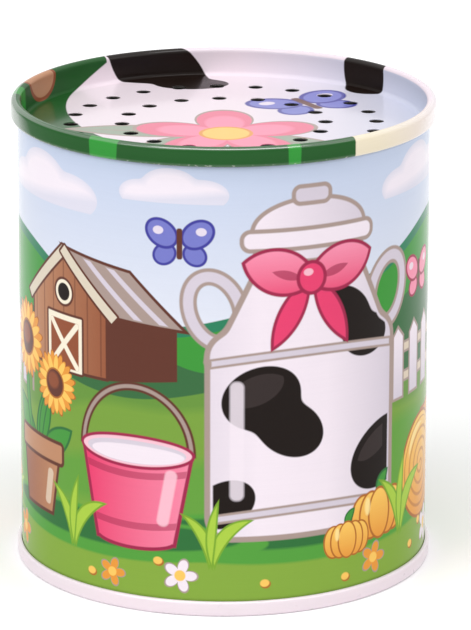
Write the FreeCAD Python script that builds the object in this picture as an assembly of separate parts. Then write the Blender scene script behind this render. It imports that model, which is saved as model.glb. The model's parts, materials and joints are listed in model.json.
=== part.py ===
import FreeCAD, Part
import math
import os

# Tip-over sound tin: a seamed round can with a perforated recessed lid.
# Inside, a weight hangs on a pleated bellows below a board that carries a beating reed.
# Tipping the tin lets the weight squeeze the bellows, and the reed sounds through the lid.
# Millimetres, +Z up, origin at the centre of the ring that the tin stands on.

# Tin shell
tin_height = 76.0
body_diameter = 65.8
sheet = 0.28
seam_gap = 0.06
lid_seam_height = 3.1
base_seam_height = 2.4
lid_recess = 4.5
base_recess = 3.6
panel_bend = 0.8

# Sound holes in the lid
hole_diameter = 2.4
outer_ring_diameter = 48.8
outer_ring_holes = 24
inner_ring_diameter = 32.5
inner_ring_holes = 16

# Lock seam of the can wall, at the back
lock_seam_width = 4.0
lock_seam_setback = 1.5
lock_groove_width = 0.35
lock_groove_depth = 0.12

# Card sleeve and felt inside the can
liner_clearance = 0.15
lock_seam_clearance = 1.0
sleeve_wall = 1.2
pad_thickness = 2.0
pad_clearance = 0.6

# Reed board and the sound chamber above it
chamber_height = 6.0
spacer_width = 2.6
board_thickness = 3.0
board_edge_round = 0.6

# Bellows and the rings that bind its ends
spigot_radius = 20.0
spigot_wall = 1.6
spigot_height = 5.0
film = 0.4
film_clearance = 0.05
pleat_depth = 4.6
pleat_count = 10
clamp_width = 3.0
clamp_wall = 1.2
clamp_round = 0.4

# Weight and the tray that carries it
runner_clearance = 0.4
runner_height = 2.0
runner_width = 4.0
runner_count = 6
skirt_wall = 1.6
tray_height = 10.5
tray_plate = 2.0
tray_round = 0.6
slug_thickness = 4.0
slug_clearance = 0.4
slug_chamfer = 0.5
boss_radius = 3.6
rest_gap = 0.1

# Screw and washer that hold the weight
screw_radius = 1.4
screw_length = 5.2
screw_clearance = 0.05
head_radius = 2.9
head_height = 1.8
head_round = 0.7
drive_slot_width = 0.8
drive_slot_depth = 0.9
washer_radius = 7.0
washer_thickness = 0.8

# Reed, its socket and its horn
socket_bore = 4.0
socket_wall = 1.0
socket_drop = 5.0
collar_radius = 7.6
collar_thickness = 1.2
horn_radius = 9.0
horn_height = 4.2
horn_bend = 2.6
fit_clearance = 0.05
shallot_length = 19.0
shallot_tip = 1.5
groove_width = 3.4
groove_depth = 2.6
tongue_thickness = 0.25
tongue_width = 6.0
tongue_root = 2.4
tongue_free = 9.2
tongue_set_degrees = 2.2
tongue_clearance = 0.1
wedge_height = 4.6
shallot_above_board = 2.0

# Layers of the seams, as distances from the axis to the middle of each sheet
full_turn = 360.0
back_degrees = 90.0
seam_pitch = sheet + seam_gap
body_outer = body_diameter / 2
body_inner = body_outer - sheet
wall_middle = body_outer - sheet / 2
chuck_middle = wall_middle - seam_pitch
hook_middle = wall_middle + seam_pitch
body_hook_middle = wall_middle + 2 * seam_pitch
lid_wall_middle = wall_middle + 3 * seam_pitch

# Bends of the seams, tight enough for each layer to nest in the next
crest_bend = 1.8 * seam_pitch
hook_bend = seam_pitch
hem_bend = seam_pitch / 2
foot_bend = seam_pitch
lip_bend = sheet / 2 + 2 * seam_gap

# Levels inside the tin
floor_level = base_recess + sheet
ceiling_level = tin_height - lid_recess - sheet
board_top = ceiling_level - chamber_height
board_bottom = board_top - board_thickness
pad_top = floor_level + pad_thickness
tray_bottom = pad_top + rest_gap
plate_top = tray_bottom + tray_height
plate_bottom = plate_top - tray_plate
slug_bottom = plate_bottom - slug_thickness
washer_bottom = slug_bottom - washer_thickness

# Radii inside the tin
liner_outer = body_inner - liner_clearance
sleeve_inner = liner_outer - sleeve_wall
runner_outer = sleeve_inner - runner_clearance
skirt_outer = runner_outer - runner_height
skirt_inner = skirt_outer - skirt_wall
slug_radius = skirt_inner - slug_clearance
cuff_inner = spigot_radius + film_clearance
cuff_middle = cuff_inner + film / 2
clamp_inner = cuff_inner + film + film_clearance
socket_outer = socket_bore + socket_wall
reed_radius = socket_bore - fit_clearance
tongue_face = tongue_thickness / 2 + tongue_clearance


def corner_edges(corners, closed):
    """Straight and round edges in the XZ plane through corners of (x, z, radius)."""
    count = len(corners)
    inside = range(count) if closed else range(1, count - 1)
    arcs = {}
    for i in inside:
        before, here, after = (corners[(i + k) % count] for k in (-1, 0, 1))
        arcs[i] = corner_arc(before, here, after)
    edges = []
    for i in range(count if closed else count - 1):
        j = (i + 1) % count
        start = arcs[i][2] if i in arcs else point(corners[i])
        end = arcs[j][0] if j in arcs else point(corners[j])
        if start.distanceToPoint(end) > 1e-6:
            edges.append(Part.LineSegment(start, end).toShape())
        if j in arcs and corners[j][2] > 1e-6:
            edges.append(Part.Arc(*arcs[j]).toShape())
    return edges


def point(corner):
    """A corner's place in the XZ plane."""
    return FreeCAD.Vector(corner[0], 0, corner[1])


def corner_arc(before, here, after):
    """Start, middle and end of the arc that rounds one corner."""
    arrive = (point(here) - point(before)).normalize()
    leave = (point(after) - point(here)).normalize()
    half_turn = arrive.getAngle(leave) / 2
    radius = here[2]
    reach = radius * math.tan(half_turn)
    inward = (leave - arrive).normalize()
    centre = point(here) + inward * (radius / math.cos(half_turn))
    return point(here) - arrive * reach, centre - inward * radius, point(here) + leave * reach


def moved_aside(path, distance):
    """A path of (x, z, bend) moved to the left by a distance, its bends kept concentric."""
    moved = []
    for i, (x, z, bend) in enumerate(path):
        arrive = point(path[i]) - point(path[max(i - 1, 0)])
        leave = point(path[min(i + 1, len(path) - 1)]) - point(path[i])
        arrive = (arrive if arrive.Length else leave).normalize()
        leave = (leave if leave.Length else arrive).normalize()
        left_in = FreeCAD.Vector(-arrive.z, 0, arrive.x)
        left_out = FreeCAD.Vector(-leave.z, 0, leave.x)
        shift = (left_in + left_out) * (distance / (1 + left_in.dot(left_out)))
        turn = arrive.x * leave.z - arrive.z * leave.x
        radius = bend - distance * math.copysign(1.0, turn) if bend else 0.0
        moved.append((x + shift.x, z + shift.z, radius))
    return moved


def section(corners):
    """A closed face with rounded corners."""
    return Part.Face(Part.Wire(corner_edges(corners, True)))


def sheet_section(path, thickness):
    """A strip of even thickness that follows a bent path."""
    left = moved_aside(path, thickness / 2)
    right = moved_aside(path, -thickness / 2)[::-1]
    caps = [
        Part.LineSegment(point(left[-1]), point(right[0])).toShape(),
        Part.LineSegment(point(right[-1]), point(left[0])).toShape(),
    ]
    edges = corner_edges(left, False) + caps[:1] + corner_edges(right, False) + caps[1:]
    return Part.Face(Part.Wire(edges))


def spun(face, degrees=full_turn, middle=None):
    """A face turned about the Z axis, all round or as a wedge about a middle angle."""
    solid = face.revolve(FreeCAD.Vector(), FreeCAD.Vector(0, 0, 1), degrees)
    if middle is not None:
        solid.rotate(FreeCAD.Vector(), FreeCAD.Vector(0, 0, 1), middle - degrees / 2)
    if solid.Volume < 0:
        solid.reverse()
    return solid


def bar_section(inner, outer, low, high, corner=0.0):
    """A rectangle beside the axis, its corners rounded alike."""
    places = ((inner, low), (outer, low), (outer, high), (inner, high))
    return section([(x, z, corner) for x, z in places])


def ring(inner, outer, low, high, corner=0.0):
    """A plain ring with rounded edges."""
    return spun(bar_section(inner, outer, low, high, corner))


def rod(radius, low, high, x=0.0, y=0.0):
    """A round bar along Z."""
    return Part.makeCylinder(radius, high - low, FreeCAD.Vector(x, y, low))


def block(low, high):
    """A box between two corners."""
    size = [b - a for a, b in zip(low, high)]
    return Part.makeBox(*size, FreeCAD.Vector(*low))


def around(count, radius):
    """Places spaced evenly on a circle, from +X on."""
    for i in range(count):
        angle = 2 * math.pi * i / count
        yield radius * math.cos(angle), radius * math.sin(angle)


def back_wedge(inner, outer, low, high, width):
    """A curved bar at the back of the tin, as wide as said at its outer face."""
    return spun(bar_section(inner, outer, low, high), math.degrees(width / outer), back_degrees)


def lock_seam_room(low, high):
    """Room that a liner leaves for the lock seam, which stands in from the can wall."""
    inner = body_inner - 2 * sheet - liner_clearance
    return back_wedge(inner, body_outer, low, high, lock_seam_width + 2 * lock_seam_clearance)


def can_body():
    """Can wall: hemmed outwards at its foot, hooked outwards at its top, locked at the back."""
    hem_level = sheet + seam_gap + sheet / 2
    hem_tip = base_seam_height - seam_pitch
    flange_level = tin_height - sheet / 2 - seam_pitch
    hook_tip = tin_height - lid_seam_height + sheet / 2 + seam_pitch
    wall = sheet_section(
        [
            (hook_middle, hem_tip, 0),
            (hook_middle, hem_level, hem_bend),
            (wall_middle, hem_level, hem_bend),
            (wall_middle, flange_level, hook_bend),
            (body_hook_middle, flange_level, hook_bend),
            (body_hook_middle, hook_tip, 0),
        ],
        sheet,
    )
    seam_low = floor_level + lock_seam_setback
    seam_high = ceiling_level - lock_seam_setback
    folds = back_wedge(body_inner - 2 * sheet, wall_middle, seam_low, seam_high, lock_seam_width)
    groove_low = base_seam_height + lock_seam_setback
    groove_high = tin_height - lid_seam_height - lock_seam_setback
    groove = back_wedge(
        body_outer - lock_groove_depth, body_outer + sheet, groove_low, groove_high, lock_groove_width
    )
    return spun(wall).fuse(folds).cut(groove).removeSplitter()


def lid_end():
    """Perforated lid: recessed panel, upright wall, crest, outer wall and the hook below it."""
    panel_level = tin_height - lid_recess - sheet / 2
    crest_level = tin_height - sheet / 2
    fold_level = tin_height - lid_seam_height + sheet / 2
    hook_tip = crest_level - 2 * seam_pitch
    end = spun(
        sheet_section(
            [
                (0, panel_level, 0),
                (chuck_middle, panel_level, panel_bend),
                (chuck_middle, crest_level, crest_bend),
                (lid_wall_middle, crest_level, crest_bend),
                (lid_wall_middle, fold_level, hook_bend),
                (hook_middle, fold_level, hook_bend),
                (hook_middle, hook_tip, 0),
            ],
            sheet,
        )
    )
    places = list(around(outer_ring_holes, outer_ring_diameter / 2))
    places += around(inner_ring_holes, inner_ring_diameter / 2)
    low = ceiling_level - sheet
    high = ceiling_level + 2 * sheet
    holes = [rod(hole_diameter / 2, low, high, x, y) for x, y in places]
    return end.cut(Part.makeCompound(holes))


def base_end():
    """Base: recessed panel, foot ring that the tin stands on, outer wall and lip over the hem."""
    panel_level = base_recess + sheet / 2
    foot_level = sheet / 2
    lip_level = base_seam_height - sheet / 2
    return spun(
        sheet_section(
            [
                (0, panel_level, 0),
                (chuck_middle, panel_level, panel_bend),
                (chuck_middle, foot_level, foot_bend),
                (body_hook_middle, foot_level, foot_bend),
                (body_hook_middle, lip_level, lip_bend),
                (body_outer + seam_gap, lip_level, 0),
            ],
            sheet,
        )
    )


def guide_sleeve():
    """Rolled card sleeve, open at the back where the lock seam stands in."""
    return ring(sleeve_inner, liner_outer, floor_level, board_bottom).cut(
        back_wedge(
            sleeve_inner - sleeve_wall,
            body_outer,
            floor_level - sheet,
            board_bottom + sheet,
            lock_seam_width + 2 * lock_seam_clearance,
        )
    )


def landing_pad():
    """Felt disc that the weight lands on."""
    return rod(sleeve_inner - pad_clearance, floor_level, pad_top)


def sound_spacer():
    """Card ring that holds the board away from the lid, so that every hole opens on the chamber."""
    spacer = ring(liner_outer - spacer_width, liner_outer, board_top, ceiling_level)
    return spacer.cut(lock_seam_room(board_top - sheet, ceiling_level + sheet))


def reed_board():
    """Moulded board: disc, spigot for the bellows and a hole for the reed socket."""
    disc = ring(socket_outer + fit_clearance, liner_outer, board_bottom, board_top, board_edge_round)
    spigot_low = board_bottom - spigot_height
    spigot_high = board_bottom + board_edge_round
    spigot = ring(spigot_radius - spigot_wall, spigot_radius, spigot_low, spigot_high)
    board = disc.cut(lock_seam_room(board_bottom - sheet, board_top + sheet))
    return board.fuse(spigot).removeSplitter()


def bellows():
    """Pleated bag between the board's spigot and the tray's, with a plain cuff at each end."""
    cuff_top = board_bottom - film_clearance
    cuff_bottom = plate_top + film_clearance
    pleats_top = board_bottom - spigot_height
    pleats_bottom = plate_top + spigot_height
    pitch = (pleats_top - pleats_bottom) / pleat_count
    path = [(cuff_middle, cuff_bottom, 0), (cuff_middle, pleats_bottom, 0)]
    for i in range(pleat_count):
        path.append((cuff_middle + pleat_depth, pleats_bottom + (i + 0.5) * pitch, 0))
        path.append((cuff_middle, pleats_bottom + (i + 1) * pitch, 0))
    path.append((cuff_middle, cuff_top, 0))
    return spun(sheet_section(path, film))


def clamp_ring(level):
    """Ring that binds a cuff of the bellows on its spigot."""
    return ring(clamp_inner, clamp_inner + clamp_wall, level, level + clamp_width, clamp_round)


def upper_clamp_ring():
    """Ring on the board's spigot."""
    return clamp_ring(board_bottom - (spigot_height + clamp_width) / 2)


def lower_clamp_ring():
    """Ring on the tray's spigot."""
    return clamp_ring(plate_top + (spigot_height - clamp_width) / 2)


def reed_socket():
    """Tube pressed through the board, with a collar that seats on it and a short flared horn."""
    middle = socket_bore + socket_wall / 2
    mouth = board_top + horn_height - socket_wall / 2
    horn = sheet_section(
        [(middle, board_bottom - socket_drop, 0), (middle, mouth, horn_bend), (horn_radius, mouth, 0)],
        socket_wall,
    )
    collar = ring(middle, collar_radius, board_top, board_top + collar_thickness)
    return spun(horn).fuse(collar).removeSplitter()


def half_round(low, high, side):
    """Half of a round bar in the socket's bore, on the side of the tongue that is given."""
    depth = socket_outer
    near, far = sorted((side * tongue_face, side * depth))
    return rod(reed_radius, low, high).common(block((-depth, near, low), (depth, far, high)))


def reed_shallot():
    """Half-round trough that the tongue beats on, open at its top and closed at its tip."""
    top = board_top + shallot_above_board
    low = top - shallot_length
    trough = block(
        (-groove_width / 2, -groove_depth, low + shallot_tip),
        (groove_width / 2, 0, top + socket_wall),
    )
    return half_round(low, top, -1).cut(trough)


def reed_wedge():
    """Half-round wedge that clamps the tongue's root in the socket."""
    low = board_bottom - socket_drop
    return half_round(low, low + wedge_height, 1)


def reed_tongue():
    """Springy strip, set a little away from the trough."""
    root = board_bottom - socket_drop
    strip = block(
        (-tongue_width / 2, -tongue_thickness / 2, root),
        (tongue_width / 2, tongue_thickness / 2, root + tongue_root),
    )
    free = block(
        (-tongue_width / 2, -tongue_thickness / 2, root - tongue_free),
        (tongue_width / 2, tongue_thickness / 2, root),
    )
    free.rotate(FreeCAD.Vector(0, -tongue_thickness / 2, root), FreeCAD.Vector(1, 0, 0), tongue_set_degrees)
    return strip.fuse(free).removeSplitter()


def weight_tray():
    """Moulded tray: plate, skirt, spigot, boss and the runners that slide in the sleeve."""
    tray = spun(
        section(
            [
                (0, plate_bottom, 0),
                (skirt_inner, plate_bottom, 0),
                (skirt_inner, tray_bottom, 0),
                (skirt_outer, tray_bottom, tray_round),
                (skirt_outer, plate_top, tray_round),
                (spigot_radius, plate_top, 0),
                (spigot_radius, plate_top + spigot_height, 0),
                (spigot_radius - spigot_wall, plate_top + spigot_height, 0),
                (spigot_radius - spigot_wall, plate_top, 0),
                (0, plate_top, 0),
            ]
        )
    )
    tray = tray.fuse(rod(boss_radius, slug_bottom, plate_bottom))
    rail = section(
        [
            (skirt_outer - skirt_wall / 2, tray_bottom + tray_round, 0),
            (runner_outer, tray_bottom + tray_round, tray_round),
            (runner_outer, plate_top - tray_round, tray_round),
            (skirt_outer - skirt_wall / 2, plate_top - tray_round, 0),
        ]
    )
    runner_degrees = math.degrees(runner_width / runner_outer)
    for i in range(runner_count):
        tray = tray.fuse(spun(rail, runner_degrees, full_turn * i / runner_count))
    pilot = rod(screw_radius + screw_clearance, slug_bottom, slug_bottom + screw_length)
    return tray.cut(pilot).removeSplitter()


def weight_slug():
    """Steel disc that gives the tray its weight."""
    bore = boss_radius + fit_clearance
    return spun(
        section(
            [
                (bore, slug_bottom, 0),
                (slug_radius - slug_chamfer, slug_bottom, 0),
                (slug_radius, slug_bottom + slug_chamfer, 0),
                (slug_radius, plate_bottom - slug_chamfer, 0),
                (slug_radius - slug_chamfer, plate_bottom, 0),
                (bore, plate_bottom, 0),
            ]
        )
    )


def slug_washer():
    """Washer that bridges the boss and the slug."""
    return ring(screw_radius + screw_clearance, washer_radius, washer_bottom, slug_bottom)


def slug_screw():
    """Pan-head screw through the washer into the boss."""
    low = washer_bottom - head_height
    head = section(
        [
            (0, low, 0),
            (head_radius, low, head_round),
            (head_radius, washer_bottom, 0),
            (0, washer_bottom, 0),
        ]
    )
    slot = block(
        (-head_radius, -drive_slot_width / 2, low - drive_slot_depth),
        (head_radius, drive_slot_width / 2, low + drive_slot_depth),
    )
    shank = rod(screw_radius, washer_bottom, slug_bottom + screw_length - screw_clearance)
    return spun(head).cut(slot).fuse(shank).removeSplitter()


pieces = [
    can_body,
    lid_end,
    base_end,
    guide_sleeve,
    landing_pad,
    sound_spacer,
    reed_board,
    upper_clamp_ring,
    bellows,
    reed_socket,
    reed_shallot,
    reed_wedge,
    reed_tongue,
    weight_tray,
    weight_slug,
    slug_washer,
    slug_screw,
    lower_clamp_ring,
]

os.makedirs("parts", exist_ok=True)
for piece in pieces:
    solid = piece()
    solid.exportStep("parts/" + piece.__name__ + ".step")
    volume = round(solid.Volume, 1)
    print(piece.__name__, "solids", len(solid.Solids), "valid", solid.isValid(), "mm3", volume)
folded_height = 2 * film * pleat_count
open_height = board_bottom - plate_top - 2 * spigot_height
print("weight can travel", round(open_height - folded_height, 2), "until the bellows is folded flat")
print("tongue turns at y", -tongue_thickness / 2, "z", round(board_bottom - socket_drop, 2))
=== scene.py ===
import json
import math
import bpy
import bmesh
from mathutils import Matrix, Vector


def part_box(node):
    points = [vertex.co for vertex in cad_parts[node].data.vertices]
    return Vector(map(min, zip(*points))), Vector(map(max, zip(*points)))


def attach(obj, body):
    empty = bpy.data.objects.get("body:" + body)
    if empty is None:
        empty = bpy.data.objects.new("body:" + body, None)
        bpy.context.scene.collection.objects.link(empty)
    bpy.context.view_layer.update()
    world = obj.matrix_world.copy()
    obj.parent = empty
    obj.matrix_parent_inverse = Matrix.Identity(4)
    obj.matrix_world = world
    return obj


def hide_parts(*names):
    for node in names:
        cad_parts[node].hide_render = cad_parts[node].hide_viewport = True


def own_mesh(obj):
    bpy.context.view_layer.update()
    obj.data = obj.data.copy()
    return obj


# Tip-over sound tin: printed can wall, perforated lid, white base and the works inside
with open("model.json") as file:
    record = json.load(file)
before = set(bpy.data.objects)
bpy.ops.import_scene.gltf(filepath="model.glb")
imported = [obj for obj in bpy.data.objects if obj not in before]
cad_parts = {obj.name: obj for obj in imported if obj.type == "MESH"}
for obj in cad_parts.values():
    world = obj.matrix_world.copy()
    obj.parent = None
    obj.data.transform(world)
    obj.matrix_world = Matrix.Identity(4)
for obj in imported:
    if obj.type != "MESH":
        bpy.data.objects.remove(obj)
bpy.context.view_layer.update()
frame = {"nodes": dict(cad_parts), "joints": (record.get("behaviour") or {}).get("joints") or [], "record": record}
mm = 0.001
fullTurn = 2 * math.pi
print("frame loaded with", len(frame["nodes"]), "nodes")


# Shader tools

class Wire:  # a socket that can be used in sums
    def __init__(self, finish, socket):
        self.finish = finish
        self.socket = socket

    def maths(self, operation, *others):
        return self.finish.sum(operation, self, *others)

    def vector(self, operation, *others):
        output = 1 if operation in ("LENGTH", "DISTANCE", "DOT_PRODUCT") else 0
        values = dict(enumerate((self,) + others))
        return self.finish.add("ShaderNodeVectorMath", {"operation": operation}, values, output)

    def scaled(self, share):
        return self.finish.add("ShaderNodeVectorMath", {"operation": "SCALE"}, {0: self, "Scale": share})

    def other(self, output):  # another output of the same node
        return Wire(self.finish, self.socket.node.outputs[output])

    def __add__(self, value):
        return self.maths("ADD", value)

    def __sub__(self, value):
        return self.maths("SUBTRACT", value)

    def __rsub__(self, value):
        return self.finish.sum("SUBTRACT", value, self)

    def __mul__(self, value):
        return self.maths("MULTIPLY", value)

    def __truediv__(self, value):
        return self.maths("DIVIDE", value)

    def __abs__(self):
        return self.maths("ABSOLUTE")

    __radd__ = __add__
    __rmul__ = __mul__


class Finish:  # one node tree, filled from its first node to its last
    def __init__(self, tree):
        self.tree = tree
        tree.nodes.clear()

    def add(self, kind, settings=None, values=None, output=0):
        node = self.tree.nodes.new(kind)
        for name, value in (settings or {}).items():
            setattr(node, name, value)
        for socket, value in (values or {}).items():
            if isinstance(value, Wire):
                self.tree.links.new(value.socket, node.inputs[socket])
            else:
                node.inputs[socket].default_value = value
        return Wire(self, node.outputs[output]) if node.outputs else node

    def sum(self, operation, *values):
        return self.add("ShaderNodeMath", {"operation": operation}, dict(enumerate(values)))

    def mix(self, share, first, second, blend="MIX"):
        settings = {"data_type": "RGBA", "blend_type": blend}
        return self.add("ShaderNodeMix", settings, {0: share, 6: first, 7: second}, 2)

    def spot(self):  # place on the piece in millimetres
        return self.add("ShaderNodeTexCoord", output="Object").scaled(1 / mm)

    def axes(self, place):  # dot products, because they keep the nodes in the order they were made
        return [place.vector("DOT_PRODUCT", axis) for axis in ((1, 0, 0), (0, 1, 0), (0, 0, 1))]

    def fromAxis(self, place):
        return place.vector("MULTIPLY", (1, 1, 0)).vector("LENGTH")

    def noise(self, place, scale, detail=2.0, stretch=(1, 1, 1)):
        place = place.vector("MULTIPLY", stretch)
        return self.add("ShaderNodeTexNoise", {}, {"Vector": place, "Scale": scale, "Detail": detail})

    def grazing(self):  # nothing where the surface faces the eye, one at its edge
        return self.add("ShaderNodeLayerWeight", {}, {"Blend": 0.5}, "Facing")

    def bump(self, height, strength, distance):
        values = {"Height": height, "Strength": strength, "Distance": distance}
        return self.add("ShaderNodeBump", {}, values)

    def close(self, values):
        made = self.add("ShaderNodeBsdfPrincipled", {}, values)
        self.add("ShaderNodeOutputMaterial", {}, {"Surface": made})


def newFinish(name):
    material = bpy.data.materials.new(name)
    material.use_nodes = True
    return material, Finish(material.node_tree)


def ink(red, green, blue):  # a colour, given as it looks on screen
    levels = []
    for level in (red / 255, green / 255, blue / 255):
        levels.append(level / 12.92 if level <= 0.04045 else ((level + 0.055) / 1.055) ** 2.4)
    return (*levels, 1.0)


def ramp(value, start, stop):  # from nothing at the start to one at the stop
    share = value.maths("MULTIPLY_ADD", 1 / (stop - start), -start / (stop - start))
    return share.maths("MAXIMUM", 0.0).maths("MINIMUM", 1.0)


# Printed artwork

class Art:  # inks laid one over another on a flat sheet measured in millimetres
    def __init__(self, finish, place, colour=None):
        self.finish = finish
        self.place = place
        self.colour = colour
        self.across, self.up = finish.axes(place)[:2]

    def centred(self, at, size=(1.0, 1.0), turn=0.0):
        place = self.place
        if turn:
            values = {"Vector": place, "Center": (*at, 0), "Angle": -turn}
            place = self.finish.add("ShaderNodeVectorRotate", {"rotation_type": "Z_AXIS"}, values)
        shrink = Vector((1 / size[0], 1 / size[1], 1))
        return place.vector("MULTIPLY_ADD", shrink, (-at[0] * shrink.x, -at[1] * shrink.y, 0))

    def stamp(self, motif, at, size=1.0, turn=0.0):  # a motif is drawn once and used at many places
        values = {0: self.centred(at, (size, size), turn), 1: self.colour}
        self.colour = self.finish.add("ShaderNodeGroup", {"node_tree": motifTree(motif)}, values)

    # each shape gives the distance to its outline, below zero inside it
    def oval(self, at, radii, turn=0.0):
        share = self.centred(at, radii, turn)
        reach = share.vector("LENGTH")
        if radii[0] == radii[1]:
            return reach.maths("MULTIPLY_ADD", radii[0], -radii[0])
        steepness = share.vector("DIVIDE", (*radii, 1)).vector("LENGTH")
        return reach * (reach - 1) / steepness

    def slab(self, at, half, corner=0.4, turn=0.0):
        inner = (half[0] - corner, half[1] - corner, 1)
        outside = self.centred(at, turn=turn).vector("ABSOLUTE").vector("SUBTRACT", inner)
        return outside.vector("MAXIMUM", (0, 0, 0)).vector("LENGTH") - corner

    def beyond(self, point, heading):  # the part of the sheet behind a line
        out = Vector(heading).normalized()
        return self.place.vector("DOT_PRODUCT", (*out, 0)) - out.dot(Vector(point))

    def facet(self, *corners):  # corners go anticlockwise
        reach = None
        for start, end in zip(corners, corners[1:] + corners[:1]):
            side = self.beyond(start, (end[1] - start[1], start[0] - end[0]))
            reach = both(reach, side) if reach else side
        return reach

    def arc(self, root, tip, rise):  # round through two points, rising to the left of the way
        root, tip = Vector(root), Vector(tip)
        radius = ((tip - root).length_squared / 4 + rise ** 2) / (2 * rise)
        aside = Vector((root.y - tip.y, tip.x - root.x)).normalized()
        middle = (root + tip) / 2 + aside * (rise - radius)
        return self.place.vector("DISTANCE", (*middle, 0)) - abs(radius)

    def leaf(self, root, tip, width, rise=0.0):  # pointed at both ends, bowed by its rise
        if rise < 0:
            root, tip, rise = tip, root, -rise
        outer = self.arc(root, tip, rise + width / 2)
        inner = self.arc(root, tip, rise - width / 2)
        return both(outer, inner if rise < width / 2 else 0 - inner)

    def flower(self, petals, heart, length, turn=0.0):  # round the motif's own origin
        across, up = self.finish.axes(self.centred((0, 0), turn=turn))[:2]
        swell = abs((up.maths("ARCTAN2", across) * (petals / 2)).maths("COSINE"))
        return self.place.vector("LENGTH") - swell.maths("MULTIPLY_ADD", length, heart)

    def fade(self, along, start, stop, first, second):
        span = stop - start
        return self.finish.mix(along.maths("MULTIPLY_ADD", 1 / span, -start / span), first, second)

    def lay(self, colour, reach, strength=1.0, soft=0.2):
        cover = reach.maths("MULTIPLY_ADD", -1 / soft, 0.5)
        if strength < 1:
            cover = cover.maths("MINIMUM", strength)
        self.colour = self.finish.mix(cover, self.colour, colour)

    def draw(self, reach, fill, line, width=0.6):
        self.lay(line, reach - width / 2)
        self.lay(fill, reach + width / 2)


def both(first, second):
    return first.maths("MAXIMUM", second)


def either(first, second, blend=0.0):
    return first.maths("SMOOTH_MIN", second, blend) if blend else first.maths("MINIMUM", second)


def motifTree(motif):
    if motif.__name__ in bpy.data.node_groups:
        return bpy.data.node_groups[motif.__name__]
    tree = bpy.data.node_groups.new(motif.__name__, "ShaderNodeTree")
    tree.interface.new_socket("place", in_out="INPUT", socket_type="NodeSocketVector")
    tree.interface.new_socket("under", in_out="INPUT", socket_type="NodeSocketColor")
    tree.interface.new_socket("printed", in_out="OUTPUT", socket_type="NodeSocketColor")
    finish = Finish(tree)
    start = finish.add("NodeGroupInput")
    art = Art(finish, start, start.other(1))
    motif(art)
    finish.add("NodeGroupOutput", {}, {0: art.colour})
    return tree


inks = {
    "skyLow": ink(226, 229, 240), "skyHigh": ink(196, 208, 232), "cloud": ink(243, 234, 243),
    "cloudShade": ink(222, 220, 234), "farRidge": ink(44, 128, 92), "brightHill": ink(62, 150, 58),
    "darkHill": ink(58, 108, 64), "meadowFar": ink(104, 148, 62), "meadowNear": ink(133, 169, 64),
    "ground": ink(48, 112, 58), "groundSoft": ink(84, 158, 62), "lime": ink(170, 204, 70),
    "limeDark": ink(122, 166, 50), "white": ink(242, 230, 239), "lilacShade": ink(214, 204, 216),
    "taupe": ink(170, 150, 142), "black": ink(25, 15, 11), "blackLit": ink(58, 48, 47),
    "pink": ink(232, 66, 112), "pinkLit": ink(247, 148, 176), "pinkPale": ink(249, 196, 210),
    "petal": ink(232, 116, 144), "pinkLine": ink(160, 40, 76), "brown": ink(146, 80, 52),
    "brownDark": ink(98, 54, 42), "brownLit": ink(190, 138, 104), "cream": ink(246, 236, 214),
    "creamShade": ink(222, 206, 186), "straw": ink(250, 200, 98), "strawDark": ink(232, 154, 62),
    "strawLine": ink(176, 104, 44), "strawLit": ink(254, 228, 156), "blue": ink(66, 64, 154),
    "blueLit": ink(120, 124, 200), "rimGreen": ink(32, 86, 36), "rimBright": ink(50, 146, 56),
    "paleBlue": ink(202, 208, 226), "lidWhite": ink(238, 224, 232), "creamRim": ink(238, 226, 200),
    "greyGreen": ink(154, 166, 148), "leafGreen": ink(70, 150, 62),
}


def hill(art, girth, level, swells, colour, strength=1.0, soft=0.2):  # swells: height, waves, phase
    top = level
    for height, waves, phase in swells:
        wave = art.across.maths("MULTIPLY_ADD", waves * fullTurn / girth, phase).maths("SINE")
        top = wave.maths("MULTIPLY_ADD", height, top)
    art.lay(colour, art.up - top, strength, soft)


def cloud(art):
    puffs = either(art.oval((0, 1), (7.6, 5)), art.oval((-7.5, -1), (6, 3.6)), 1.5)
    puffs = either(puffs, art.oval((8, -0.6), (7, 4)), 1.5)
    whole = both(puffs, art.beyond((0, -3), (0, -1)))
    art.lay(inks["cloudShade"], whole)
    art.lay(inks["cloud"], both(whole + 0.9, art.beyond((0, -1.2), (0.1, -1))), soft=2)


def fence(art):  # six pales from the left end
    ends = abs(art.across - 15.4) - 16.8
    for height in (3.4, 8.2):
        art.draw(both(abs(art.up - height) - 0.8, ends), inks["creamShade"], inks["taupe"], 0.4)
    post = art.across.maths("PINGPONG", 2.8)
    tip = (post + art.up - 11.9) * 0.707
    pale = both(both(post - 1.75, tip), both(ends, 0 - art.up))
    art.draw(pale, art.fade(art.up, 0, 10, inks["lilacShade"], inks["white"]), inks["taupe"], 0.45)


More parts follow.
